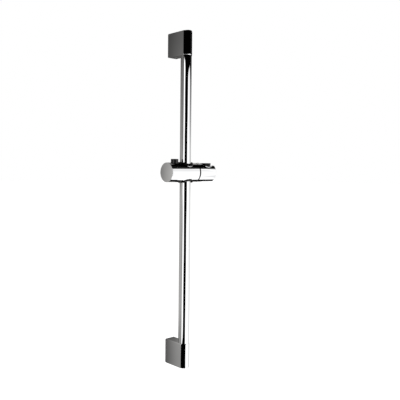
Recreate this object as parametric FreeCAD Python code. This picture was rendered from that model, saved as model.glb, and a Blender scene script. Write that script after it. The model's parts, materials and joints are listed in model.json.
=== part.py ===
import FreeCAD, Part
import math
import os

V = FreeCAD.Vector
X_AXIS = V(1, 0, 0)
Y_AXIS = V(0, 1, 0)
Z_AXIS = V(0, 0, 1)
ORIGIN = V(0, 0, 0)

# Frame: the wall is the plane Y = 0, the room is on the -Y side, +X is right, +Z is up
# Origin: midway between the two wall screws

# Rail
FIXING_SPACING = 618.0
RAIL_OFFSET = 43.5
TUBE_R = 11.0
TUBE_WALL = 1.2
TUBE_BORE_R = TUBE_R - TUBE_WALL

# Fits
RUNNING = 0.05
FREE_GAP = 0.35
FLAT_GAP = 0.1

# How far a cut reaches past the face it opens
PAST = 1.0

# Brackets
BRACKET_W = 23.2
BRACKET_H = 48.0
BRACKET_SIDE_DEPTH = 48.0
NOSE_R = 9.5
NOSE_HALF_DEG = 40.0
FLANK_R = 52.0
END_ARCH = 1.1
BACK_ROUND = 4.0
BRACKET_EDGE_R = 1.5
BRACKET_WALL = 3.0
END_WALL = 4.0
CAVITY_DEPTH = 46.0
CAVITY_W = BRACKET_W - 2 * BRACKET_WALL
CAVITY_H = BRACKET_H - 2 * END_WALL
SPIGOT_R = 6.0
SPIGOT_LEN = 16.0

# Wall mounts inside the brackets
MOUNT_SIDE_GAP = 0.3
MOUNT_PLATE = 4.0
MOUNT_TONGUE = 6.0
MOUNT_DEPTH = 24.0
MOUNT_NECK = 1.0
SCREW_HOLE_R = 2.75
SCREW_HEAD_R = 5.2
SCREW_SINK = 2.0
GRUB_R = 2.5
GRUB_DEPTH = 12.0
GRUB_SINK = 0.6
GRUB_KEY_AF = 2.5
GRUB_KEY_DEPTH = 2.6
GRUB_SEAT = 0.5

# Plugs in the tube's ends
PLUG_LEN = 22.0
PLUG_SLOT_W = 2.0
PLUG_SLOT_LEN = 5.0

# Slider
SLIDER_Z = 52.8
SLIDER_R = 19.2
SLIDER_LEFT = -47.8
BODY_RIGHT = 23.0
HOLDER_LEFT = 25.2
HOLDER_RIGHT = 67.2
CAP_T = 1.6
CAP_SPIGOT = 5.4
CAP_EDGE = 0.2
CAP_GROOVE = 0.1
SEAM_CHAMFER = 0.5
END_ROUND = 1.0
CROSS_BORE_R = 15.1
BORE_LIP_R = 15.7
BORE_LIP_CROWN_R = 19.6

# Glide rings round the tube
RING_R = CROSS_BORE_R - RUNNING
RING_BORE_R = TUBE_R + RUNNING
RING_INNER_Z = 7.5
RING_CROWN_R = 20.7

# Brake
PLUNGER_BORE_R = 9.0
PLUNGER_R = PLUNGER_BORE_R - RUNNING
PLUNGER_LEFT = -37.6
PLUNGER_RIGHT = -17.2
BRAKE_TRAVEL = 1.0
NOSE_W = 12.0
NOSE_H = 13.0
PAD_BACK = -14.4
PAD_STUD_R = 2.4
PAD_STUD_LEN = 4.0
PAD_GAP = 0.3
SPRING_WELL_R = 7.0
SPRING_WELL_FLOOR = -35.2
BRAKE_SPRING_R = 5.6
BRAKE_SPRING_WIRE = 1.0
BRAKE_SPRING_TURNS = 3

# Release button
BUTTON_X = -27.6
BUTTON_R = 7.4
BUTTON_TOP_Z = 26.3
BUTTON_SKIRT_Z = 14.6
BUTTON_TRAVEL = 3.0
BUTTON_TOP_T = 2.2
BUTTON_WALL = 1.4
BUTTON_EDGE_R = 0.6
BUTTON_WELL_FLOOR_Z = 11.2
STEM_R = 2.6
STEM_FOOT_Z = -0.5
RAMP_TOP_Z = 5.5
RAMP_SLOPE = BRAKE_TRAVEL / BUTTON_TRAVEL
CLIP_Z = 7.05
CLIP_T = 0.8
CLIP_R = 4.2
CLIP_GROOVE = 0.5
CLIP_MOUTH_W = 3.4
LEDGE_Z = 3.6
POCKET_X0 = -32.6
POCKET_X1 = -22.0
POCKET_W = 9.6
POCKET_FLOOR_Z = -4.5
BUTTON_SPRING_R = 4.1
BUTTON_SPRING_WIRE = 0.8
BUTTON_SPRING_TURNS = 4

# Turning joint between slider body and handset holder
PIVOT_R = 3.0
PIVOT_THREAD_R = 2.5
PIVOT_HEAD_R = 4.6
PIVOT_HEAD_X = 16.0
PIVOT_HEAD_T = 2.2
PIVOT_KEY_AF = 4.0
PIVOT_KEY_DEPTH = 1.5
PIVOT_END_X = 33.6
THREAD_X = 28.6
BUSH_R = 5.0
BUSH_FLANGE_R = 7.0
BUSH_FLANGE_T = 1.0
DISC_WELL_R = 12.6
DISC_WELL = 1.8
FRICTION_RING_R = 12.2
FRICTION_BORE_R = 7.4
SEAM_RING_R = 17.6
SEAM_RING_T = 1.8
DISC_SPRING_R = 11.4
DISC_SPRING_BORE_R = 8.2
DISC_SPRING_T = 0.5
DISC_SPRING_RISE = 0.9

# Handset socket
SOCKET_X = 48.4
SOCKET_TOP_R = 14.0
SOCKET_BOTTOM_R = 11.8
SOCKET_TOP_Z = 19.2
SOCKET_BOTTOM_Z = -17.6
SOCKET_SLOT_W = 16.0
MOUTH_R = 15.5
MOUTH_REACH = 24.5
MOUTH_FLOOR_Z = 9.0
MOUTH_SLOT_W = 26.2
MOUTH_LIP_T = 0.7
MOUTH_LIP_CROWN_R = 19.7
LINER_WALL = 1.7
LINER_SLOT_W = 14.4
LINER_RIM_Z = 19.0
LINER_COLLAR_R = 15.1
LINER_COLLAR_Z = 13.4
LINER_MOUTH = 0.8


def box(x0, x1, y0, y1, z0, z1):
    return Part.makeBox(x1 - x0, y1 - y0, z1 - z0, V(x0, y0, z0))


def rod(radius, start, end, centre):
    """A vertical cylinder between two heights over a centre in plan."""
    return Part.makeCylinder(radius, end - start, V(centre[0], centre[1], start), Z_AXIS)


def shaft(radius, start, end):
    """A cylinder along X on the slider's own axis."""
    return Part.makeCylinder(radius, end - start, V(start, -RAIL_OFFSET, SLIDER_Z), X_AXIS)


def hexagon(across_flats, base, direction, depth):
    radius = across_flats / math.sqrt(3)
    side = V(0, 1, 0) if abs(direction.y) < 0.5 else V(1, 0, 0)
    other = direction.cross(side)
    corners = []
    for i in range(7):
        turn = math.radians(60 * i)
        corners.append(base + side * (radius * math.cos(turn)) + other * (radius * math.sin(turn)))
    return Part.Face(Part.makePolygon(corners)).extrude(direction * depth)


def turned(points, centre, axis=Z_AXIS):
    """A solid of revolution; each point is a radius and a place along the axis."""
    across = X_AXIS if abs(axis.x) < 0.5 else Z_AXIS
    line = [centre + across * r + axis * h for r, h in points]
    line.append(line[0])
    return Part.Face(Part.makePolygon(line)).revolve(centre, axis, 360)


def coil(radius, wire, height, turns, base, axis):
    """A spring of square wire between two seats, wound up along an axis from its base."""
    rise = height - wire
    helix = Part.makeHelix(rise / turns, rise, radius)
    near = radius - wire / 2
    far = radius + wire / 2
    corners = [V(near, 0, 0), V(far, 0, 0), V(far, 0, wire), V(near, 0, wire), V(near, 0, 0)]
    spring = Part.Wire(helix).makePipeShell([Part.makePolygon(corners)], True, True)
    if abs(axis.x) > 0.5:
        spring.rotate(ORIGIN, Y_AXIS, 90)
    spring.translate(base)
    return spring


def fillet_where(shape, radius, wanted):
    edges = [edge for edge in shape.Edges if wanted(edge)]
    return shape.makeFillet(radius, edges)


# Brackets


def front_half(side):
    """Points of the front outline on one side: crease, flank middle, nose start, nose tip."""
    half = BRACKET_W / 2
    start = math.radians(NOSE_HALF_DEG)
    nose_x = NOSE_R * math.sin(start)
    crease_sin = math.sin(start) + (half - nose_x) / FLANK_R
    crease = math.asin(crease_sin)
    nose_y = -BRACKET_SIDE_DEPTH - FLANK_R * (math.cos(start) - math.cos(crease))
    middle = (start + crease) / 2
    mid_x = nose_x + FLANK_R * (math.sin(middle) - math.sin(start))
    mid_y = nose_y + FLANK_R * (math.cos(start) - math.cos(middle))
    tip_y = nose_y - NOSE_R * (1 - math.cos(start))
    return [
        V(side * half, -BRACKET_SIDE_DEPTH, 0),
        V(side * mid_x, mid_y, 0),
        V(side * nose_x, nose_y, 0),
        V(0, tip_y, 0),
    ]


def bracket_plan():
    half = BRACKET_W / 2
    left = front_half(-1)
    right = front_half(1)
    outline = [
        Part.makeLine(V(half, 0, 0), V(-half, 0, 0)),
        Part.makeLine(V(-half, 0, 0), left[0]),
        Part.Arc(left[0], left[1], left[2]).toShape(),
        Part.Arc(left[2], left[3], right[2]).toShape(),
        Part.Arc(right[2], right[1], right[0]).toShape(),
        Part.makeLine(right[0], V(half, 0, 0)),
    ]
    return Part.Face(Part.Wire(outline))


def arched_end(reach):
    """The bracket's front view: flat inner end, softly arched outer end."""
    half = BRACKET_W / 2
    low = V(-half, 0, -BRACKET_H / 2)
    high = V(-half, 0, BRACKET_H / 2)
    crown = V(0, 0, BRACKET_H / 2 + END_ARCH)
    outline = [
        Part.makeLine(V(half, 0, low.z), low),
        Part.makeLine(low, high),
        Part.Arc(high, crown, V(half, 0, high.z)).toShape(),
        Part.makeLine(V(half, 0, high.z), V(half, 0, low.z)),
    ]
    return Part.Face(Part.Wire(outline)).extrude(V(0, -reach, 0))


def back_rounding():
    """The wedge that rounds the outer end down to the wall."""
    top = BRACKET_H / 2 + END_ARCH
    corner = box(-BRACKET_W, BRACKET_W, -BACK_ROUND, BACK_ROUND, top - BACK_ROUND, top + BACK_ROUND)
    centre = V(-BRACKET_W, -BACK_ROUND, top - BACK_ROUND)
    return corner.cut(Part.makeCylinder(BACK_ROUND, 2 * BRACKET_W, centre, X_AXIS))


def bracket_shell():
    """An upper bracket about its own middle, before the hidden side is opened."""
    reach = BRACKET_SIDE_DEPTH + NOSE_R
    solid = bracket_plan().extrude(V(0, 0, BRACKET_H + 2 * END_ARCH))
    solid.translate(V(0, 0, -BRACKET_H / 2))
    solid = solid.common(arched_end(reach)).cut(back_rounding())
    solid = solid.removeSplitter()

    def outside_edge(edge):
        box_ = edge.BoundBox
        on_wall = box_.YMin > -0.01
        along_back = box_.YMin > -BACK_ROUND - 0.01 and box_.ZMin > 0
        crease = abs(box_.ZLength - BRACKET_H) < 0.2 and abs(abs(box_.XMin) - BRACKET_W / 2) < 0.01
        at_end = box_.ZLength < 2 * END_ARCH
        return not on_wall and not along_back and (crease or at_end)

    return fillet_where(solid, BRACKET_EDGE_R, outside_edge)


def bracket(is_upper):
    """A bracket in place, with its rear cavity, its tube spigot and the grub screw's hole."""
    body = bracket_shell()
    half_w = CAVITY_W / 2
    half_h = CAVITY_H / 2
    body = body.cut(box(-half_w, half_w, -CAVITY_DEPTH, PAST, -half_h, half_h))
    inner = -BRACKET_H / 2
    spigot = rod(SPIGOT_R, inner - SPIGOT_LEN, inner + END_WALL, (0, -RAIL_OFFSET))
    body = body.fuse(spigot).removeSplitter()
    if not is_upper:
        body = body.mirror(ORIGIN, Z_AXIS)
    hole = rod(GRUB_R, -BRACKET_H, 0, (0, -GRUB_DEPTH))
    body = body.cut(hole)
    body.translate(V(0, 0, bracket_z(is_upper)))
    return body


def bracket_z(is_upper):
    return FIXING_SPACING / 2 if is_upper else -FIXING_SPACING / 2


def wall_mount(is_upper):
    """The block screwed to the wall that the bracket slides over."""
    half = CAVITY_W / 2 - MOUNT_SIDE_GAP
    low = MOUNT_SIDE_GAP - CAVITY_H / 2
    high = -low
    plate = box(-half, half, -MOUNT_PLATE, 0, low, high)
    tongue = box(-half, half, -MOUNT_DEPTH, 0, low, low + MOUNT_TONGUE)
    rib = box(-half, half, -MOUNT_DEPTH / 2, 0, high - MOUNT_TONGUE / 2, high)
    block = plate.fuse([tongue, rib]).removeSplitter()
    screw = Part.makeCylinder(SCREW_HOLE_R, 2 * MOUNT_DEPTH, V(0, MOUNT_DEPTH, 0), -Y_AXIS)
    sink = Part.makeCone(
        SCREW_HOLE_R, SCREW_HEAD_R, SCREW_SINK, V(0, -MOUNT_PLATE + SCREW_SINK, 0), -Y_AXIS
    )
    seat = rod(GRUB_R - GRUB_SEAT, low - PAST, low + MOUNT_NECK, (0, -GRUB_DEPTH))
    block = block.cut(Part.makeCompound([screw, sink, seat]))
    block.translate(V(0, 0, bracket_z(is_upper)))
    return block


def grub_screw(is_upper):
    """The set screw that draws the bracket down on its wall mount."""
    surface = -BRACKET_H / 2 if is_upper else -BRACKET_H / 2 - END_ARCH
    tip = MOUNT_SIDE_GAP + MOUNT_NECK - CAVITY_H / 2
    foot = surface + GRUB_SINK
    neck = GRUB_R - GRUB_SEAT
    outline = [
        (0, foot),
        (GRUB_R, foot),
        (GRUB_R, tip - 2 * MOUNT_NECK),
        (neck, tip - 2 * MOUNT_NECK + GRUB_SEAT),
        (neck, tip),
        (0, tip),
    ]
    screw = turned(outline, V(0, -GRUB_DEPTH, 0))
    screw = screw.cut(hexagon(GRUB_KEY_AF, V(0, -GRUB_DEPTH, foot), Z_AXIS, GRUB_KEY_DEPTH))
    screw.translate(V(0, 0, bracket_z(is_upper)))
    return screw


# Rail


def tube_end():
    return FIXING_SPACING / 2 - BRACKET_H / 2


def rail_tube():
    outer = rod(TUBE_R, -tube_end(), tube_end(), (0, -RAIL_OFFSET))
    bore = rod(TUBE_BORE_R, -tube_end(), tube_end(), (0, -RAIL_OFFSET))
    return outer.cut(bore)


def tube_plug(is_upper):
    """The plug that centres the tube's end on its bracket's spigot."""
    centre = (0, -RAIL_OFFSET)
    plug = rod(TUBE_BORE_R, tube_end() - PLUG_LEN, tube_end(), centre)
    plug = plug.cut(rod(SPIGOT_R, tube_end() - SPIGOT_LEN, tube_end(), centre))
    slot_low = tube_end() - PLUG_LEN
    across = box(
        -TUBE_R,
        TUBE_R,
        -RAIL_OFFSET - PLUG_SLOT_W / 2,
        -RAIL_OFFSET + PLUG_SLOT_W / 2,
        slot_low,
        slot_low + PLUG_SLOT_LEN,
    )
    plug = plug.cut(across)
    return plug if is_upper else plug.mirror(ORIGIN, Z_AXIS)


# Slider on the tube


def glide_ring(is_upper):
    """A plastic ring that runs on the tube and carries the slider; its crown follows the slider's round."""
    centre = (0, -RAIL_OFFSET)
    low = SLIDER_Z + RING_INNER_Z
    high = SLIDER_Z + RING_CROWN_R
    ring = rod(RING_R, low, high, centre).cut(rod(RING_BORE_R, low, high, centre))
    ring = ring.common(shaft(RING_CROWN_R, -CROSS_BORE_R, CROSS_BORE_R))
    if not is_upper:
        ring = ring.mirror(V(0, 0, SLIDER_Z), Z_AXIS)
    return ring


def bush_start():
    return PIVOT_HEAD_X + PIVOT_HEAD_T + RUNNING


def ramp_x(height):
    """Where the stem's ramp is at a height above the slider's axis."""
    return BUTTON_X - STEM_R + RAMP_SLOPE * (RAMP_TOP_Z - height)


def ramp_wedge(low, high, shift, left):
    """The prism to the left of the ramp between two heights."""
    side = -RAIL_OFFSET - STEM_R - FREE_GAP
    corners = [
        V(left, side, SLIDER_Z + low),
        V(ramp_x(low) + shift, side, SLIDER_Z + low),
        V(ramp_x(high) + shift, side, SLIDER_Z + high),
        V(left, side, SLIDER_Z + high),
        V(left, side, SLIDER_Z + low),
    ]
    return Part.Face(Part.makePolygon(corners)).extrude(V(0, 2 * (STEM_R + FREE_GAP), 0))


def slider_body():
    """The cross tube that rides on the rail, with a raised lip round its bore."""
    left = SLIDER_LEFT + CAP_T
    flat = SLIDER_R - SEAM_CHAMFER
    outline = [
        (0, left),
        (SLIDER_R - CAP_GROOVE, left),
        (SLIDER_R, left + CAP_GROOVE),
        (SLIDER_R, BODY_RIGHT - SEAM_CHAMFER),
        (flat, BODY_RIGHT),
        (0, BODY_RIGHT),
    ]
    body = turned(outline, V(0, -RAIL_OFFSET, SLIDER_Z), X_AXIS)
    lip = rod(BORE_LIP_R, SLIDER_Z - 2 * SLIDER_R, SLIDER_Z + 2 * SLIDER_R, (0, -RAIL_OFFSET))
    body = body.fuse(lip.common(shaft(BORE_LIP_CROWN_R, -BORE_LIP_R, BORE_LIP_R)))
    cuts = [
        rod(CROSS_BORE_R, SLIDER_Z - 2 * SLIDER_R, SLIDER_Z + 2 * SLIDER_R, (0, -RAIL_OFFSET)),
        shaft(PLUNGER_BORE_R, left - PAST, 0),
        rod(
            BUTTON_R + FREE_GAP,
            SLIDER_Z + BUTTON_WELL_FLOOR_Z,
            SLIDER_Z + 2 * SLIDER_R,
            (BUTTON_X, -RAIL_OFFSET),
        ),
        rod(STEM_R + RUNNING, SLIDER_Z, SLIDER_Z + SLIDER_R, (BUTTON_X, -RAIL_OFFSET)),
        shaft(BUSH_FLANGE_R, 0, bush_start() + BUSH_FLANGE_T),
        shaft(BUSH_R, 0, BODY_RIGHT),
        shaft(DISC_WELL_R, BODY_RIGHT - DISC_WELL, BODY_RIGHT + PAST),
    ]
    return body.cut(Part.makeCompound(cuts))


def slider_end_cap():
    """The disc that closes the slider's left end, with a spigot in the brake's bore."""
    outline = [
        (0, SLIDER_LEFT),
        (SLIDER_R - CAP_EDGE - CAP_GROOVE, SLIDER_LEFT),
        (SLIDER_R - CAP_GROOVE, SLIDER_LEFT + CAP_EDGE),
        (SLIDER_R - CAP_GROOVE, SLIDER_LEFT + CAP_T),
        (PLUNGER_BORE_R, SLIDER_LEFT + CAP_T),
        (PLUNGER_BORE_R, SLIDER_LEFT + CAP_T + CAP_SPIGOT),
        (0, SLIDER_LEFT + CAP_T + CAP_SPIGOT),
    ]
    return turned(outline, V(0, -RAIL_OFFSET, SLIDER_Z), X_AXIS)


def brake_plunger():
    """The sliding piece that presses the pad on the tube."""
    plunger = shaft(PLUNGER_R, PLUNGER_LEFT, PLUNGER_RIGHT)
    nose = box(
        PLUNGER_RIGHT,
        PAD_BACK,
        -RAIL_OFFSET - NOSE_W / 2,
        -RAIL_OFFSET + NOSE_W / 2,
        SLIDER_Z - NOSE_H / 2,
        SLIDER_Z + NOSE_H / 2,
    )
    pocket = box(
        POCKET_X0,
        POCKET_X1,
        -RAIL_OFFSET - POCKET_W / 2,
        -RAIL_OFFSET + POCKET_W / 2,
        SLIDER_Z + LEDGE_Z,
        SLIDER_Z + SLIDER_R,
    )
    stem_slot = box(
        POCKET_X0,
        BUTTON_X + STEM_R + BRAKE_TRAVEL + FREE_GAP,
        -RAIL_OFFSET - STEM_R - FREE_GAP,
        -RAIL_OFFSET + STEM_R + FREE_GAP,
        SLIDER_Z + POCKET_FLOOR_Z,
        SLIDER_Z + LEDGE_Z,
    )
    stem_slot = stem_slot.cut(ramp_wedge(POCKET_FLOOR_Z, LEDGE_Z, -FLAT_GAP, POCKET_X0))
    well = shaft(SPRING_WELL_R, PLUNGER_LEFT, SPRING_WELL_FLOOR)
    stud_hole = shaft(PAD_STUD_R, PAD_BACK - PAD_STUD_LEN, PAD_BACK)
    cuts = Part.makeCompound([pocket, stem_slot, well, stud_hole])
    return plunger.fuse(nose).removeSplitter().cut(cuts)


def brake_pad():
    """The pad that grips the tube, held in the plunger by a stud."""
    front = -math.sqrt((TUBE_R + PAD_GAP) ** 2 - (NOSE_W / 2) ** 2)
    pad = box(
        PAD_BACK,
        front,
        -RAIL_OFFSET - NOSE_W / 2,
        -RAIL_OFFSET + NOSE_W / 2,
        SLIDER_Z - NOSE_H / 2,
        SLIDER_Z + NOSE_H / 2,
    )
    hollow = rod(TUBE_R + PAD_GAP, SLIDER_Z - NOSE_H, SLIDER_Z + NOSE_H, (0, -RAIL_OFFSET))
    stud = shaft(PAD_STUD_R, PAD_BACK - PAD_STUD_LEN, PAD_BACK + PAST)
    return pad.cut(hollow).fuse(stud).removeSplitter()


def brake_spring():
    start = SLIDER_LEFT + CAP_T + CAP_SPIGOT
    base = V(start, -RAIL_OFFSET, SLIDER_Z)
    length = SPRING_WELL_FLOOR - start
    return coil(BRAKE_SPRING_R, BRAKE_SPRING_WIRE, length, BRAKE_SPRING_TURNS, base, X_AXIS)


def release_button():
    """The push button on top of the slider, with its stem down to the plunger."""
    top = BUTTON_TOP_Z
    roof = top - BUTTON_TOP_T
    inner = BUTTON_R - BUTTON_WALL
    groove_r = STEM_R - CLIP_GROOVE
    outline = [
        (0, STEM_FOOT_Z),
        (STEM_R, STEM_FOOT_Z),
        (STEM_R, CLIP_Z),
        (groove_r, CLIP_Z),
        (groove_r, CLIP_Z + CLIP_T),
        (STEM_R, CLIP_Z + CLIP_T),
        (STEM_R, roof),
        (inner, roof),
        (inner, BUTTON_SKIRT_Z),
        (BUTTON_R, BUTTON_SKIRT_Z),
        (BUTTON_R, top),
        (0, top),
    ]
    button = turned(outline, V(BUTTON_X, -RAIL_OFFSET, SLIDER_Z))

    def top_rim(edge):
        box_ = edge.BoundBox
        return box_.ZMin > SLIDER_Z + top - 0.01 and box_.XLength > BUTTON_R

    button = fillet_where(button, BUTTON_EDGE_R, top_rim)
    return button.cut(ramp_wedge(STEM_FOOT_Z, RAMP_TOP_Z, 0, BUTTON_X - 2 * STEM_R))


def button_clip():
    """The open clip on the stem that keeps the button from being pushed out."""
    groove_r = STEM_R - CLIP_GROOVE
    low = SLIDER_Z + CLIP_Z
    clip = rod(CLIP_R, low, low + CLIP_T, (BUTTON_X, -RAIL_OFFSET))
    clip = clip.cut(rod(groove_r, low, low + CLIP_T, (BUTTON_X, -RAIL_OFFSET)))
    mouth = box(
        BUTTON_X,
        BUTTON_X + 2 * CLIP_R,
        -RAIL_OFFSET - CLIP_MOUTH_W / 2,
        -RAIL_OFFSET + CLIP_MOUTH_W / 2,
        low,
        low + CLIP_T,
    )
    return clip.cut(mouth)


def button_spring():
    length = BUTTON_TOP_Z - BUTTON_TOP_T - BUTTON_WELL_FLOOR_Z
    base = V(BUTTON_X, -RAIL_OFFSET, SLIDER_Z + BUTTON_WELL_FLOOR_Z)
    return coil(BUTTON_SPRING_R, BUTTON_SPRING_WIRE, length, BUTTON_SPRING_TURNS, base, Z_AXIS)


# Pivot and handset holder


def pivot_bush():
    """The flanged bush in the body's end wall that the pivot screw turns in."""
    start = bush_start()
    sleeve = shaft(BUSH_R, start, BODY_RIGHT - DISC_WELL)
    flange = shaft(BUSH_FLANGE_R, start, start + BUSH_FLANGE_T)
    return sleeve.fuse(flange).removeSplitter().cut(shaft(PIVOT_R + RUNNING, 0, BODY_RIGHT))


def pivot_screw():
    """The shoulder screw that holds the handset holder on the body."""
    outline = [
        (0, PIVOT_HEAD_X),
        (PIVOT_HEAD_R, PIVOT_HEAD_X),
        (PIVOT_HEAD_R, PIVOT_HEAD_X + PIVOT_HEAD_T),
        (PIVOT_R, PIVOT_HEAD_X + PIVOT_HEAD_T),
        (PIVOT_R, THREAD_X),
        (PIVOT_THREAD_R, THREAD_X),
        (PIVOT_THREAD_R, PIVOT_END_X),
        (0, PIVOT_END_X),
    ]
    screw = turned(outline, V(0, -RAIL_OFFSET, SLIDER_Z), X_AXIS)
    socket_base = V(PIVOT_HEAD_X, -RAIL_OFFSET, SLIDER_Z)
    return screw.cut(hexagon(PIVOT_KEY_AF, socket_base, X_AXIS, PIVOT_KEY_DEPTH))


def friction_ring():
    """The plastic ring in the body's end that the holder turns against; its flange fills the seam."""
    back = BODY_RIGHT - DISC_WELL
    outline = [
        (FRICTION_BORE_R, back),
        (FRICTION_RING_R, back),
        (FRICTION_RING_R, BODY_RIGHT),
        (SEAM_RING_R, BODY_RIGHT),
        (SEAM_RING_R, seam_ring_face()),
        (FRICTION_BORE_R, seam_ring_face()),
    ]
    return turned(outline, V(0, -RAIL_OFFSET, SLIDER_Z), X_AXIS)


def seam_ring_face():
    return BODY_RIGHT + SEAM_RING_T


def holder_well():
    """The floor of the well in the holder that takes the disc spring."""
    return seam_ring_face() + RUNNING + DISC_SPRING_RISE + DISC_SPRING_T


def disc_spring():
    """The coned washer in the holder that loads the friction ring."""
    seat = seam_ring_face() + RUNNING
    outline = [
        (DISC_SPRING_BORE_R, seat),
        (DISC_SPRING_R, seat + DISC_SPRING_RISE),
        (DISC_SPRING_R, holder_well()),
        (DISC_SPRING_BORE_R, seat + DISC_SPRING_T),
    ]
    return turned(outline, V(0, -RAIL_OFFSET, SLIDER_Z), X_AXIS)


def socket_cone(top_radius, bottom_radius):
    """A cone through the holder, wide end up."""
    height = SOCKET_TOP_Z - SOCKET_BOTTOM_Z
    slope = (top_radius - bottom_radius) / height
    extra = SLIDER_R
    return Part.makeCone(
        bottom_radius - slope * extra,
        top_radius + slope * extra,
        height + 2 * extra,
        V(SOCKET_X, -RAIL_OFFSET, SLIDER_Z + SOCKET_BOTTOM_Z - extra),
        Z_AXIS,
    )


def hose_slot(width, floor=-2 * SLIDER_R):
    """The slot from the socket to the holder's end, open above its floor."""
    return box(
        SOCKET_X,
        HOLDER_RIGHT + SLIDER_R,
        -RAIL_OFFSET - width / 2,
        -RAIL_OFFSET + width / 2,
        SLIDER_Z + floor,
        SLIDER_Z + 2 * SLIDER_R,
    )


def mouth_prism(grow, floor):
    """The mouth's plan raised from its floor: a half circle, drawn out as a half ellipse to the end."""
    centre = V(SOCKET_X, -RAIL_OFFSET, SLIDER_Z + floor)
    high = 2 * SLIDER_R
    round_ = Part.makeCylinder(MOUTH_R + grow, high, centre, Z_AXIS)
    oval = Part.Ellipse(centre, MOUTH_REACH + grow, MOUTH_R + grow).toShape()
    drawn = Part.Face(Part.Wire([oval])).extrude(V(0, 0, high))
    end_side = box(
        SOCKET_X,
        HOLDER_RIGHT,
        -RAIL_OFFSET - SLIDER_R,
        -RAIL_OFFSET + SLIDER_R,
        centre.z,
        centre.z + high,
    )
    return round_.fuse(drawn.common(end_side)).removeSplitter()


def handset_holder():
    """The turning end of the slider, with the socket, its lipped mouth and the hose slot."""
    flat = SLIDER_R - SEAM_CHAMFER
    outline = [
        (0, HOLDER_LEFT),
        (flat, HOLDER_LEFT),
        (SLIDER_R, HOLDER_LEFT + SEAM_CHAMFER),
        (SLIDER_R, HOLDER_RIGHT),
        (0, HOLDER_RIGHT),
    ]
    holder = turned(outline, V(0, -RAIL_OFFSET, SLIDER_Z), X_AXIS)

    def end_rim(edge):
        return edge.BoundBox.XMin > HOLDER_RIGHT - 0.01

    holder = fillet_where(holder, END_ROUND, end_rim)
    lip = mouth_prism(MOUTH_LIP_T, 0).common(shaft(MOUTH_LIP_CROWN_R, HOLDER_LEFT, HOLDER_RIGHT - END_ROUND))
    holder = holder.fuse(lip)
    cuts = [
        socket_cone(SOCKET_TOP_R, SOCKET_BOTTOM_R),
        hose_slot(SOCKET_SLOT_W),
        hose_slot(MOUTH_SLOT_W, MOUTH_FLOOR_Z),
        mouth_prism(0, MOUTH_FLOOR_Z),
        shaft(DISC_WELL_R, HOLDER_LEFT - PAST, holder_well()),
        shaft(PIVOT_R, HOLDER_LEFT, THREAD_X),
        shaft(PIVOT_THREAD_R, HOLDER_LEFT, PIVOT_END_X),
    ]
    return holder.cut(Part.makeCompound(cuts))


def holder_liner():
    """The plastic cone in the socket that the handset drops into, with a collar in the mouth."""
    outer = socket_cone(SOCKET_TOP_R, SOCKET_BOTTOM_R)
    inner = socket_cone(SOCKET_TOP_R - LINER_WALL, SOCKET_BOTTOM_R - LINER_WALL)
    keep = box(
        HOLDER_LEFT,
        HOLDER_RIGHT + SLIDER_R,
        -RAIL_OFFSET - SLIDER_R,
        -RAIL_OFFSET + SLIDER_R,
        SLIDER_Z + SOCKET_BOTTOM_Z,
        SLIDER_Z + LINER_RIM_Z,
    )
    mouth = Part.makeCone(
        SOCKET_TOP_R - LINER_WALL - LINER_MOUTH,
        SOCKET_TOP_R - LINER_WALL + LINER_MOUTH,
        2 * LINER_MOUTH,
        V(SOCKET_X, -RAIL_OFFSET, SLIDER_Z + LINER_RIM_Z - LINER_MOUTH),
        Z_AXIS,
    )
    collar = rod(
        LINER_COLLAR_R, SLIDER_Z + LINER_COLLAR_Z, SLIDER_Z + LINER_RIM_Z, (SOCKET_X, -RAIL_OFFSET)
    )
    cuts = [inner, mouth, hose_slot(LINER_SLOT_W)]
    return outer.common(keep).fuse(collar).cut(Part.makeCompound(cuts))


def main():
    parts = {
        "rail_tube": rail_tube(),
        "upper_bracket": bracket(True),
        "lower_bracket": bracket(False),
        "upper_wall_mount": wall_mount(True),
        "lower_wall_mount": wall_mount(False),
        "upper_grub_screw": grub_screw(True),
        "lower_grub_screw": grub_screw(False),
        "upper_tube_plug": tube_plug(True),
        "lower_tube_plug": tube_plug(False),
        "upper_glide_ring": glide_ring(True),
        "lower_glide_ring": glide_ring(False),
        "slider_body": slider_body(),
        "slider_end_cap": slider_end_cap(),
        "brake_plunger": brake_plunger(),
        "brake_pad": brake_pad(),
        "brake_spring": brake_spring(),
        "release_button": release_button(),
        "button_clip": button_clip(),
        "button_spring": button_spring(),
        "pivot_bush": pivot_bush(),
        "pivot_screw": pivot_screw(),
        "friction_ring": friction_ring(),
        "disc_spring": disc_spring(),
        "handset_holder": handset_holder(),
        "holder_liner": holder_liner(),
    }
    os.makedirs("parts", exist_ok=True)
    for name, shape in parts.items():
        solids = shape.Solids
        box_ = shape.BoundBox
        span = [round(v, 2) for v in (box_.XMin, box_.XMax, box_.YMin, box_.YMax, box_.ZMin, box_.ZMax)]
        print(name, len(solids), shape.isValid(), round(shape.Volume, 1), span)
        shape.exportStep("parts/" + name + ".step")


main()
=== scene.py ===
import json
import math

import bpy
from mathutils import Matrix, Vector


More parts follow.
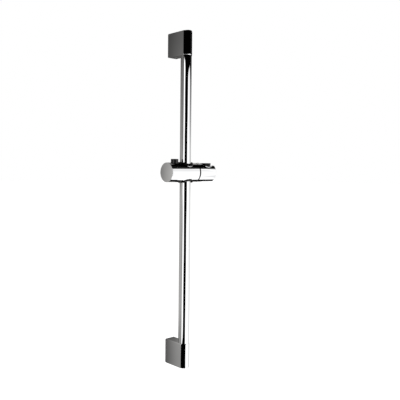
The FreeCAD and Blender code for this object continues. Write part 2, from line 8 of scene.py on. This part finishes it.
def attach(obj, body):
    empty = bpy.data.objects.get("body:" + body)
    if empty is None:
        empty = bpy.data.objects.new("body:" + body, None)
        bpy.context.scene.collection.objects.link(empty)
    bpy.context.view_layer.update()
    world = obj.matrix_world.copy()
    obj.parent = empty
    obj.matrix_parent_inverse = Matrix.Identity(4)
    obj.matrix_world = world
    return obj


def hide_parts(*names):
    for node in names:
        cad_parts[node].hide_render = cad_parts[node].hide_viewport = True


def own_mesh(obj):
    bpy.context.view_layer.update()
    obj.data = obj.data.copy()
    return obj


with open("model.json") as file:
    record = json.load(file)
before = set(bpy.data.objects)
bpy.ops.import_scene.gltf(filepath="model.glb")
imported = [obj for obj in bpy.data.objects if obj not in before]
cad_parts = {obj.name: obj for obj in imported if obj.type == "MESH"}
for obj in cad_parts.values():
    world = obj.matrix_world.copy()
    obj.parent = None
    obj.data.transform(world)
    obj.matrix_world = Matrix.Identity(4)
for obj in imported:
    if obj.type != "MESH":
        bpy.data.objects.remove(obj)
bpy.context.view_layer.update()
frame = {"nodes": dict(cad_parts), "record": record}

# Camera: level, turned 42.3 degrees to the right of the wall's normal
YAW = math.radians(42.33)
ROLL = math.radians(0.51)
EYE = Vector((-0.7534, -0.9142, 0.0602))
RAIL_TO_EYE = 1.15
FOCAL_PX = 579.19
CENTRE_Y_PX = 168.83
PHOTO_PX = 400
SENSOR_MM = 36.0

# The object's own places and reaches, in metres
RAIL_Y = -0.0435
SLIDER_Z = 0.0528
BRACKET_EDGE_X = 0.0116
BRACKET_MID_Z = 0.309
BRACKET_HALF_Z = 0.025


# Nodes


def material(name):
    mat = bpy.data.materials.new(name)
    mat.use_nodes = True
    tree = mat.node_tree
    tree.nodes.clear()
    out = tree.nodes.new("ShaderNodeOutputMaterial")
    return mat, tree, out


def feed(tree, socket, value):
    """Sets a socket, or links it where the value is another node's output."""
    if isinstance(value, bpy.types.NodeSocket):
        tree.links.new(value, socket)
    else:
        socket.default_value = value


def add(tree, kind, **values):
    """A node with its properties (p_name) and its sockets set, by name or by number (i0)."""
    node = tree.nodes.new(kind)
    for key, value in values.items():
        if key.startswith("p_"):
            setattr(node, key[2:], value)
    for key, value in values.items():
        if not key.startswith("p_"):
            numbered = key[0] == "i" and key[1:].isdigit()
            feed(tree, node.inputs[int(key[1:]) if numbered else key.replace("_", " ")], value)
    return node


def math_node(tree, operation, first, second, clamp=False):
    node = add(tree, "ShaderNodeMath", p_operation=operation, p_use_clamp=clamp, i0=first, i1=second)
    return node.outputs[0]


def remap(tree, value, source, target=(0.0, 1.0)):
    (low, high), (to_low, to_high) = source, target
    node = add(tree, "ShaderNodeMapRange", i0=value, i1=low, i2=high, i3=to_low, i4=to_high)
    return node.outputs[0]


def place(tree, scale=(1, 1, 1)):
    """The object's own coordinates in metres, stretched."""
    source = add(tree, "ShaderNodeTexCoord")
    mapping = add(tree, "ShaderNodeMapping", i0=source.outputs["Object"])
    mapping.inputs["Scale"].default_value = scale
    return mapping.outputs[0]


def noise(tree, vector, scale, detail, roughness, distortion=0.0):
    values = {"Scale": scale, "Detail": detail, "Roughness": roughness, "Distortion": distortion}
    return add(tree, "ShaderNodeTexNoise", Vector=vector, **values).outputs[0]


def mix_colour(tree, factor, first, second):
    node = add(tree, "ShaderNodeMix", p_data_type="RGBA", i0=factor, i6=first, i7=second)
    return node.outputs[2]


def bump(tree, height, distance, after=None):
    node = add(tree, "ShaderNodeBump", Strength=1.0, Distance=distance, Height=height)
    if after is not None:
        tree.links.new(after, node.inputs["Normal"])
    return node.outputs[0]


def finish_surface(tree, out, colour, rough, normal, metallic, **fixed):
    values = {"Base Color": colour, "Roughness": rough, "Normal": normal, "Metallic": metallic}
    shader = add(tree, "ShaderNodeBsdfPrincipled", **values, **fixed)
    tree.links.new(shader.outputs[0], out.inputs["Surface"])


def grey(value):
    return (value, value, value, 1.0)


# Materials of the object

CHROME_DIM = (0.885, 0.89, 0.9, 1.0)
CHROME_CLEAR = (0.915, 0.918, 0.922, 1.0)
POLISH_DEPTH = 0.0000015
CASTING_DARK = (0.40, 0.405, 0.41, 1.0)
CASTING_LIGHT = (0.56, 0.56, 0.565, 1.0)
CASTING_DEPTH = 0.00004
DRAWN_DEPTH = 0.00001
RUBBER_DEPTH = 0.00003


def chrome(name, grain, grain_scale, orange_peel):
    """Polished plating: faint polishing grain, cloudy wipe marks and a slight wave of the metal below."""
    mat, tree, out = material(name)
    cloud = noise(tree, place(tree), scale=38.0, detail=4.0, roughness=0.6)
    wipe = noise(tree, place(tree, (1.0, 1.0, 0.35)), scale=160.0, detail=5.0, roughness=0.65, distortion=0.6)
    lines = noise(tree, place(tree, grain), grain_scale, detail=2.0, roughness=0.5)
    colour = mix_colour(tree, remap(tree, cloud, (0.3, 0.7)), CHROME_DIM, CHROME_CLEAR)
    haze = remap(tree, wipe, (0.45, 0.8), (0.012, 0.045))
    fine = remap(tree, lines, (0.35, 0.7), (0.0, 0.012))
    rough = math_node(tree, "ADD", haze, fine, clamp=True)
    wave = noise(tree, place(tree), scale=120.0, detail=1.0, roughness=0.4)
    normal = bump(tree, wave, orange_peel)
    normal = bump(tree, lines, POLISH_DEPTH, after=normal)
    finish_surface(tree, out, colour, rough, normal, metallic=1.0)
    return mat


def moulded(name, dark, light, rough_range, grain_depth, **fixed):
    """Moulded plastic: spark-eroded grain, slow flow marks and small changes of gloss."""
    mat, tree, out = material(name)
    flow = noise(tree, place(tree, (1.0, 1.0, 0.5)), scale=90.0, detail=3.0, roughness=0.5, distortion=1.2)
    speck = noise(tree, place(tree), scale=2600.0, detail=2.0, roughness=0.6)
    colour = mix_colour(tree, remap(tree, flow, (0.3, 0.7)), grey(dark), grey(light))
    rough = remap(tree, flow, (0.3, 0.75), rough_range)
    finish_surface(tree, out, colour, rough, bump(tree, speck, grain_depth), metallic=0.0, **fixed)
    return mat


def cast_metal(name):
    """Bare pressure casting: cool skin with a fine pebbled surface and darker flow streaks."""
    mat, tree, out = material(name)
    streak = noise(tree, place(tree, (1.0, 1.0, 0.3)), scale=140.0, detail=5.0, roughness=0.6, distortion=1.0)
    pebble = noise(tree, place(tree), scale=1400.0, detail=3.0, roughness=0.6)
    colour = mix_colour(tree, remap(tree, streak, (0.35, 0.7)), CASTING_DARK, CASTING_LIGHT)
    rough = remap(tree, pebble, (0.3, 0.7), (0.38, 0.58))
    finish_surface(tree, out, colour, rough, bump(tree, pebble, CASTING_DEPTH), metallic=0.9)
    return mat


def drawn_steel(name, stretch, dark, light):
    """Drawn or turned steel with fine lines along its own grain."""
    mat, tree, out = material(name)
    lines = noise(tree, place(tree, stretch), scale=900.0, detail=3.0, roughness=0.6)
    tarnish = noise(tree, place(tree), scale=260.0, detail=3.0, roughness=0.5)
    colour = mix_colour(tree, remap(tree, tarnish, (0.35, 0.7)), grey(light), grey(dark))
    rough = remap(tree, lines, (0.3, 0.7), (0.2, 0.36))
    finish_surface(tree, out, colour, rough, bump(tree, lines, DRAWN_DEPTH), metallic=1.0)
    return mat


def rubber(name):
    mat, tree, out = material(name)
    dust = noise(tree, place(tree), scale=320.0, detail=4.0, roughness=0.6)
    pores = noise(tree, place(tree), scale=3200.0, detail=2.0, roughness=0.5)
    colour = mix_colour(tree, remap(tree, dust, (0.4, 0.75)), grey(0.016), grey(0.045))
    rough = remap(tree, dust, (0.3, 0.7), (0.72, 0.88))
    finish_surface(tree, out, colour, rough, bump(tree, pores, RUBBER_DEPTH), metallic=0.0)
    return mat


tube_chrome = chrome("tube_chrome_polish", (0.4, 0.4, 9.0), 420.0, 0.0000025)
bracket_chrome = chrome("bracket_chrome_polish", (3.0, 0.5, 3.0), 380.0, 0.000006)
slider_chrome = chrome("slider_chrome_polish", (8.0, 0.5, 0.5), 420.0, 0.000003)
black_plastic = moulded("black_moulding", 0.006, 0.010, (0.07, 0.15), 0.000004)
bearing_plastic = moulded("bearing_moulding", 0.004, 0.007, (0.14, 0.24), 0.000004, Specular_IOR_Level=0.15)
grey_plastic = moulded("grey_moulding", 0.38, 0.46, (0.36, 0.52), 0.00002)
zinc = cast_metal("bare_casting")
screw_steel = drawn_steel("screw_steel_turned", (1.0, 1.0, 12.0), 0.45, 0.58)
spring_steel = drawn_steel("spring_steel_drawn", (6.0, 6.0, 6.0), 0.34, 0.48)
black_rubber = rubber("pad_rubber")

DRESS = {
    "tube_chrome": tube_chrome,
    "bracket_chrome": bracket_chrome,
    "slider_chrome": slider_chrome,
    "cast_zinc": zinc,
    "screw_steel": screw_steel,
    "spring_steel": spring_steel,
    "grey_plastic": grey_plastic,
    "black_plastic": black_plastic,
    "black_rubber": black_rubber,
}
BEARINGS = ("upper_glide_ring", "lower_glide_ring", "friction_ring", "holder_liner")
for part in frame["record"]["subparts"]:
    node = frame["nodes"][part["node"]]
    node.data.materials.clear()
    bearing = part["node"] in BEARINGS
    node.data.materials.append(bearing_plastic if bearing else DRESS[part["material_slot"]])


def live_spring(node):
    """A copy of the spring's own coil that goes with the slider, with the CAD node hidden."""
    coil = bpy.data.objects.new(node + "_coil", frame["nodes"][node].data.copy())
    bpy.context.scene.collection.objects.link(coil)
    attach(coil, "slider")
    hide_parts(node)
    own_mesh(coil)


live_spring("button_spring")
live_spring("brake_spring")


# Studio


def glow(name):
    """A card's own light, read from its mesh's tone attribute."""
    mat, tree, out = material(name)
    tone = add(tree, "ShaderNodeAttribute", p_attribute_name="tone")
    shader = add(tree, "ShaderNodeEmission", Strength=tone.outputs["Fac"])
    tree.links.new(shader.outputs[0], out.inputs["Surface"])
    return mat


def around(turn, radius):
    """A point in plan round the rail; the turn runs from the camera's side to its left."""
    back_x, back_y = -math.sin(YAW), -math.cos(YAW)
    left_x, left_y = -math.cos(YAW), math.sin(YAW)
    c, s = math.cos(math.radians(turn)), math.sin(math.radians(turn))
    return radius * (c * back_x + s * left_x), RAIL_Y + radius * (c * back_y + s * left_y)


def grid_object(name, points, across, tones, mat):
    """A sheet of quads through rows of points, with a tone at each."""
    mesh = bpy.data.meshes.new(name)
    faces = []
    rows = len(points) // across
    for j in range(rows - 1):
        for i in range(across - 1):
            a = j * across + i
            faces.append((a, a + 1, a + across + 1, a + across))
    mesh.from_pydata(points, [], faces)
    tone = mesh.attributes.new("tone", "FLOAT", "POINT")
    tone.data.foreach_set("value", tones)
    mesh.materials.append(mat)
    obj = bpy.data.objects.new(name, mesh)
    bpy.context.scene.collection.objects.link(obj)
    return obj


def reflected(name, points, across, tones, mat):
    """A sheet that only reflections see."""
    obj = grid_object(name, points, across, tones, mat)
    obj.visible_camera = False
    obj.visible_diffuse = False
    obj.visible_transmission = False
    obj.visible_volume_scatter = False
    obj.visible_shadow = False
    return obj


def ease(value, low, high):
    t = min(1.0, max(0.0, (value - low) / (high - low)))
    return t * t * (3 - 2 * t)


def along(pairs, at):
    """The value at a place on a line through pairs of place and value, in rising order."""
    if at <= pairs[0][0]:
        return pairs[0][1]
    for (p0, v0), (p1, v1) in zip(pairs, pairs[1:]):
        if at <= p1:
            return v0 + (v1 - v0) * (at - p0) / (p1 - p0)
    return pairs[-1][1]


def spaced(start, end, step):
    return [start + step * i for i in range(round((end - start) / step))]


CARD_GLOW = glow("card_glow")
DARK = 0.0004
SOFTBOX = 1.25

# The tent: its openings' edges fade over SOFT_TURN degrees and SOFT_RISE metres
TENT_R = 0.43
TENT_TOP = 1.3
FLOOR_Z = -1.0
ROOF_HALF = 1.2
SOFT_TURN = 0.8
SOFT_RISE = 0.01
LEFT_TOP = 0.37
LEFT_FOOT = -0.46

# Edge of the right softbox, and both edges of the left one: height, turn
RIGHT_EDGE = (
    (-1.0, -25.0), (-0.44, -25.3), (-0.40, -28.0), (-0.35, -28.0), (-0.30, -30.4), (-0.255, -31.0),
    (-0.20, -34.8), (-0.17, -35.0), (-0.10, -34.2), (-0.07, -35.8), (-0.045, -38.3), (0.013, -40.2),
    (0.07, -39.6), (0.165, -40.0), (0.20, -44.2), (0.28, -47.0), (0.305, -47.8), (0.319, -52.0),
    (0.329, -62.0), (0.345, -96.0),
)
LEFT_EDGE = (
    (-0.46, 50.0), (-0.425, 44.0), (-0.409, 35.5), (-0.396, 23.0), (-0.375, 19.5), (-0.33, 18.2),
    (-0.285, 18.3), (-0.24, 17.2), (-0.20, 16.0), (-0.17, 14.6), (-0.13, 15.0), (-0.09, 16.4),
    (0.01, 17.5), (0.11, 15.0), (0.145, 16.6), (0.18, 15.0), (0.21, 15.0), (0.26, 16.8),
    (0.30, 16.2), (0.328, 14.3), (0.341, 17.0), (0.35, 21.0), (0.36, 42.0), (0.366, 50.0),
)
LEFT_OUTER = (
    (-0.40, 48.5), (-0.35, 48.0), (-0.32, 49.5), (-0.27, 48.0), (-0.19, 44.3), (-0.10, 43.5),
    (-0.05, 46.0), (0.0, 52.0), (0.03, 48.0), (0.09, 43.5),
)

# Top of the right softbox, as far round as its last turn: turn, height
RIGHT_TOP = ((-100.0, 0.292), (-96.0, 0.302), (-88.0, 0.335), (-80.0, 0.345))
RIGHT_TOP_LAST = -100.0

# Brightness of the screen behind on the right: turn, brightness; and its share left: height, share
RIGHT_BACK = ((-150.0, 0.76), (-100.0, 0.80), (-92.0, SOFTBOX))
RIGHT_BACK_FADE = ((-0.022, 1.0), (0.115, 0.77), (0.193, 0.44), (0.28, 0.13), (0.335, 0.02), (0.39, 0.0))
BACK_FADE_TURNS = (95.0, 102.0)

# Brightness of the right softbox's outer part: height, brightness
RIGHT_SHADE = ((0.10, 1.12), (0.13, 1.02), (0.19, 0.905), (0.235, 0.985), (0.30, 0.985))
RIGHT_SHADE_TURNS = (55.0, 70.0)
RIGHT_SHADE_LAST = -92.0

# The screen's foot is brighter at first and duller farther round
FOOT_HEIGHTS = (-0.26, -0.16)
FOOT_TURNS = (95.0, 101.0)
FOOT_DULL_TURNS = (116.0, 122.0)
FOOT_GAIN = 0.26
FOOT_LOSS = 0.36


def tent_tone(turn, z):
    """Black cloth with two shaped openings in front and a paler screen behind on the right."""
    if turn > 0:
        inner, outer = along(LEFT_EDGE, z), along(LEFT_OUTER, z)
        lit = ease(turn, inner - SOFT_TURN, inner + SOFT_TURN)
        lit *= 1 - ease(turn, outer - SOFT_TURN, outer + SOFT_TURN)
        lit *= ease(z, LEFT_FOOT, LEFT_FOOT + SOFT_RISE) * (1 - ease(z, LEFT_TOP - SOFT_RISE, LEFT_TOP))
        bright = SOFTBOX
    else:
        edge = along(RIGHT_EDGE, z)
        lit = 1 - ease(turn, edge - SOFT_TURN, edge + SOFT_TURN)
        if turn > RIGHT_TOP_LAST:
            top = along(RIGHT_TOP, turn)
            lit *= 1 - ease(z, top - SOFT_RISE, top)
        bright = along(RIGHT_BACK, turn)
        if turn > RIGHT_SHADE_LAST:
            bright += (along(RIGHT_SHADE, z) - bright) * ease(-turn, *RIGHT_SHADE_TURNS)
        bright *= 1 + (along(RIGHT_BACK_FADE, z) - 1) * ease(-turn, *BACK_FADE_TURNS)
        foot = (1 - ease(z, *FOOT_HEIGHTS)) * ease(-turn, *FOOT_TURNS)
        bright *= 1 + foot * (FOOT_GAIN - FOOT_LOSS * ease(-turn, *FOOT_DULL_TURNS))
    return DARK + (bright - DARK) * lit


def tent():
    turns = spaced(-222.0, -50.0, 1.0) + spaced(-50.0, -22.0, 0.4) + spaced(-22.0, 10.0, 2.0)
    turns += spaced(10.0, 45.0, 0.4) + spaced(45.0, 54.0, 1.0)
    heights = spaced(FLOOR_Z, -0.5, 0.05) + spaced(-0.5, 0.5, 0.005) + [0.5, 0.6, TENT_TOP]
    points, tones = [], []
    for z in heights:
        for turn in turns:
            x, y = around(turn, TENT_R)
            points.append((x, y, z))
            tones.append(tent_tone(turn, z))
    reflected("tent", points, len(turns), tones, CARD_GLOW)


def square(half, z):
    return [(-half, -half, z), (half, -half, z), (-half, half, z), (half, half, z)]


tent()
reflected("tent_roof", square(ROOF_HALF, TENT_TOP), 2, [DARK] * 4, CARD_GLOW)

# The wall's painted brightness by height, left and right of the rail
WALL_LEFT = (
    (-1.0, 0.10), (-0.40, 0.28), (-0.33, 0.30), (-0.288, 0.33), (-0.224, 0.435), (-0.14, 0.40),
    (-0.014, 0.41), (0.053, 0.418), (0.095, 0.33), (0.129, 0.265), (0.213, 0.20), (0.28, 0.155),
    (0.33, 0.125), (0.5, 0.05), (1.3, 0.01),
)
WALL_RIGHT = (
    (-1.0, 0.80), (-0.05, 0.80), (0.0, 0.83), (0.10, 0.644), (0.157, 0.367), (0.22, 0.11), (0.26, 0.022),
)
WALL_PASSES_X = (0.02, 0.12)
WALL_CARD_Y = 0.0015
WALL_TINT = (1.0, 0.985, 0.96, 1.0)

# Share of light in the brackets' painted shade on the wall, and how far the painted shade reaches
SHADE_UPPER = 0.42
SHADE_LOWER = 0.22
SHADE_FROM = -0.012
SHADE_REACH = 0.046

# Behind the slider the wall has painted light on the left and painted shade from there on
BEHIND_HALF_Z = 0.06
BEHIND_PASSES_X = (-0.108, -0.060)
BEHIND_PAINTED_LIGHT = 0.2
BEHIND_PAINTED_SHADE = 0.7


def wall_tone(x, z):
    """Painted light and shade: brighter to the right, with painted soft shade beside the brackets and behind
    the slider.
    """
    value = along(WALL_LEFT, z)
    value += (along(WALL_RIGHT, z) - value) * ease(x, *WALL_PASSES_X)
    beside = max(0.0, abs(x) - BRACKET_EDGE_X)
    past_end = max(0.0, abs(abs(z) - BRACKET_MID_Z) - BRACKET_HALF_Z)
    away = math.hypot(beside, past_end)
    painted_contact_shade = SHADE_UPPER if z > 0 else SHADE_LOWER
    # Painted contact shade beside the brackets
    value *= painted_contact_shade + (1 - painted_contact_shade) * ease(away, SHADE_FROM, SHADE_REACH)
    level_with_slider = 1 - ease(abs(z - SLIDER_Z), 0.0, BEHIND_HALF_Z)
    # Painted light left of the slider and painted shade behind it
    value *= 1 + level_with_slider * (BEHIND_PAINTED_LIGHT - BEHIND_PAINTED_SHADE * ease(x, *BEHIND_PASSES_X))
    return value


def studio_wall():
    """The wall as the metal sees it: a glowing sheet with its light and shade painted into its tone."""
    mat, tree, out = material("studio_wall_painted_light_and_shade")
    tone = add(tree, "ShaderNodeAttribute", p_attribute_name="tone")
    mottle = noise(tree, place(tree), scale=12.0, detail=4.0, roughness=0.6)
    even = remap(tree, mottle, (0.3, 0.7), (0.97, 1.03))
    value = math_node(tree, "MULTIPLY", tone.outputs["Fac"], even)
    shader = add(tree, "ShaderNodeEmission", Color=WALL_TINT, Strength=value)
    tree.links.new(shader.outputs[0], out.inputs["Surface"])
    columns = [-3.0, -2.0, -1.2, -0.7, -0.4, -0.25] + [-0.16 + 0.004 * i for i in range(101)]
    rows = [-1.0, -0.8, -0.6, -0.45] + [-0.38 + 0.004 * i for i in range(191)] + [0.45, 0.6, 0.9, 1.3]
    points = [(x, WALL_CARD_Y, z) for z in rows for x in columns]
    tones = [wall_tone(x, z) for z in rows for x in columns]
    reflected("studio_wall", points, len(columns), tones, mat)


studio_wall()

CARD_ACROSS = 7
UNDER_SLIDER_Z = 0.0305
OVER_SLIDER_Z = 0.0745
LIP_SHADE_R = 0.0175
LIP_SHADE_TURNS = (8.0, 34.0, 4.0)


def level_card(name, tone, z, x_range, y_range):
    """A card sloped so that the tube sees it edge-on from the camera's side."""
    fall = (z - EYE.z) / RAIL_TO_EYE
    (x0, x1), (y0, y1) = x_range, y_range
    points = []
    for i in range(CARD_ACROSS):
        x = x0 + (x1 - x0) * i / (CARD_ACROSS - 1)
        for j in range(CARD_ACROSS):
            y = y0 + (y1 - y0) * j / (CARD_ACROSS - 1)
            points.append((x, y, z + fall * math.hypot(x, y - RAIL_Y)))
    return reflected(name, points, CARD_ACROSS, [tone] * len(points), CARD_GLOW)


def painted_shade_arc(name, z0, z1):
    """A low black strip at the left in front, as high as one lip of the slider's bore: painted shade on that
    lip.
    """
    turns = spaced(*LIP_SHADE_TURNS)
    points = []
    for z in (z0, z1):
        for turn in turns:
            x, y = around(turn, LIP_SHADE_R)
            points.append((x, y, z))
    return reflected(name, points, len(turns), [DARK] * len(points), CARD_GLOW)


# A bright card keeps the slider's underside white
level_card("card_low_right", SOFTBOX, -0.0957, (0.06, 0.24), (-0.20, -0.041))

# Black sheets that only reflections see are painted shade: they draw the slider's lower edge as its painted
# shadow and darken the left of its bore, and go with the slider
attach(level_card("painted_shadow_under_end", DARK, UNDER_SLIDER_Z, (-0.046, -0.024), (-0.0558, -0.0445)), "slider")
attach(level_card("painted_shadow_under_holder", DARK, UNDER_SLIDER_Z, (0.012, 0.078), (-0.0558, -0.0445)), "slider")
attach(level_card("painted_shade_under_bore", DARK, UNDER_SLIDER_Z, (-0.024, -0.008), (-0.052, -0.030)), "slider")
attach(level_card("painted_shade_over_bore", DARK, OVER_SLIDER_Z, (-0.031, -0.008), (-0.055, -0.030)), "slider")
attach(painted_shade_arc("painted_shade_low_lip", 0.0322, 0.0362), "slider")
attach(painted_shade_arc("painted_shade_high_lip", 0.0692, 0.0728), "slider")

FLOOR_REACH = 40.0
FLOOR_LIFT = 0.62
SKY_SOFT = 0.62


def seen_plainly(tree):
    """1 for what the lens or a clear surface sees, 0 for soft light."""
    path = tree.nodes.new("ShaderNodeLightPath")
    seen = math_node(tree, "MAXIMUM", path.outputs["Is Camera Ray"], path.outputs["Is Glossy Ray"])
    return math_node(tree, "MAXIMUM", seen, path.outputs["Is Transmission Ray"])


def studio_floor():
    """A pale floor: plain for the lens and the metal, and it keeps the object's soft shadow."""
    mat, tree, out = material("floor_paint")
    lift = math_node(tree, "MULTIPLY", seen_plainly(tree), FLOOR_LIFT)
    speck = noise(tree, place(tree), scale=3.0, detail=4.0, roughness=0.5)
    matte = add(tree, "ShaderNodeBsdfDiffuse", Color=mix_colour(tree, speck, grey(0.80), grey(0.82)))
    shine = add(tree, "ShaderNodeEmission", Strength=lift)
    both = tree.nodes.new("ShaderNodeAddShader")
    tree.links.new(matte.outputs[0], both.inputs[0])
    tree.links.new(shine.outputs[0], both.inputs[1])
    tree.links.new(both.outputs[0], out.inputs["Surface"])
    grid_object("floor", square(FLOOR_REACH, FLOOR_Z), 2, [1.0] * 4, mat)


def studio_world():
    """White behind the object, and softer as a light."""
    world = bpy.data.worlds.new("studio")
    world.use_nodes = True
    tree = world.node_tree
    tree.nodes.clear()
    out = tree.nodes.new("ShaderNodeOutputWorld")
    soft = add(tree, "ShaderNodeBackground", Color=grey(1.0), Strength=SKY_SOFT)
    white = add(tree, "ShaderNodeBackground", Color=grey(1.0), Strength=1.0)
    both = add(tree, "ShaderNodeMixShader", i0=seen_plainly(tree))
    tree.links.new(soft.outputs[0], both.inputs[1])
    tree.links.new(white.outputs[0], both.inputs[2])
    tree.links.new(both.outputs[0], out.inputs["Surface"])
    bpy.context.scene.world = world


def lamp(name, spot, size, power):
    """A soft lamp that shines at the rail's middle and doesn't show in the metal."""
    data = bpy.data.lights.new(name, "AREA")
    data.shape = "RECTANGLE"
    data.size, data.size_y = size
    data.energy = power
    obj = bpy.data.objects.new(name, data)
    obj.location = spot
    obj.rotation_euler = (Vector((0, RAIL_Y, 0)) - Vector(spot)).to_track_quat("-Z", "Y").to_euler()
    obj.visible_glossy = False
    bpy.context.scene.collection.objects.link(obj)


def camera():
    data = bpy.data.cameras.new("camera")
    data.sensor_fit = "HORIZONTAL"
    data.sensor_width = SENSOR_MM
    data.lens = FOCAL_PX * SENSOR_MM / PHOTO_PX
    data.shift_x = 0.0
    data.shift_y = (CENTRE_Y_PX - PHOTO_PX / 2) / PHOTO_PX
    data.clip_start, data.clip_end = 0.01, 200.0
    obj = bpy.data.objects.new("camera", data)
    ahead = Vector((math.sin(YAW), math.cos(YAW), 0))
    level = Vector((math.cos(YAW), -math.sin(YAW), 0))
    up = Vector((0, 0, 1))
    right = level * math.cos(ROLL) + up * math.sin(ROLL)
    top = up * math.cos(ROLL) - level * math.sin(ROLL)
    turn = Matrix((right, top, -ahead)).transposed()
    obj.matrix_world = Matrix.Translation(EYE) @ turn.to_4x4()
    bpy.context.scene.collection.objects.link(obj)
    bpy.context.scene.camera = obj


studio_floor()
studio_world()
lamp("key_right", (1.5, -1.3, 0.9), (1.0, 1.4), 17.0)
lamp("fill_left", (-1.7, -1.5, 0.7), (1.2, 1.4), 9.0)
lamp("fill_back", (0.6, 2.2, 1.0), (1.4, 1.4), 9.0)
camera()
bpy.context.scene.view_settings.view_transform = "Standard"
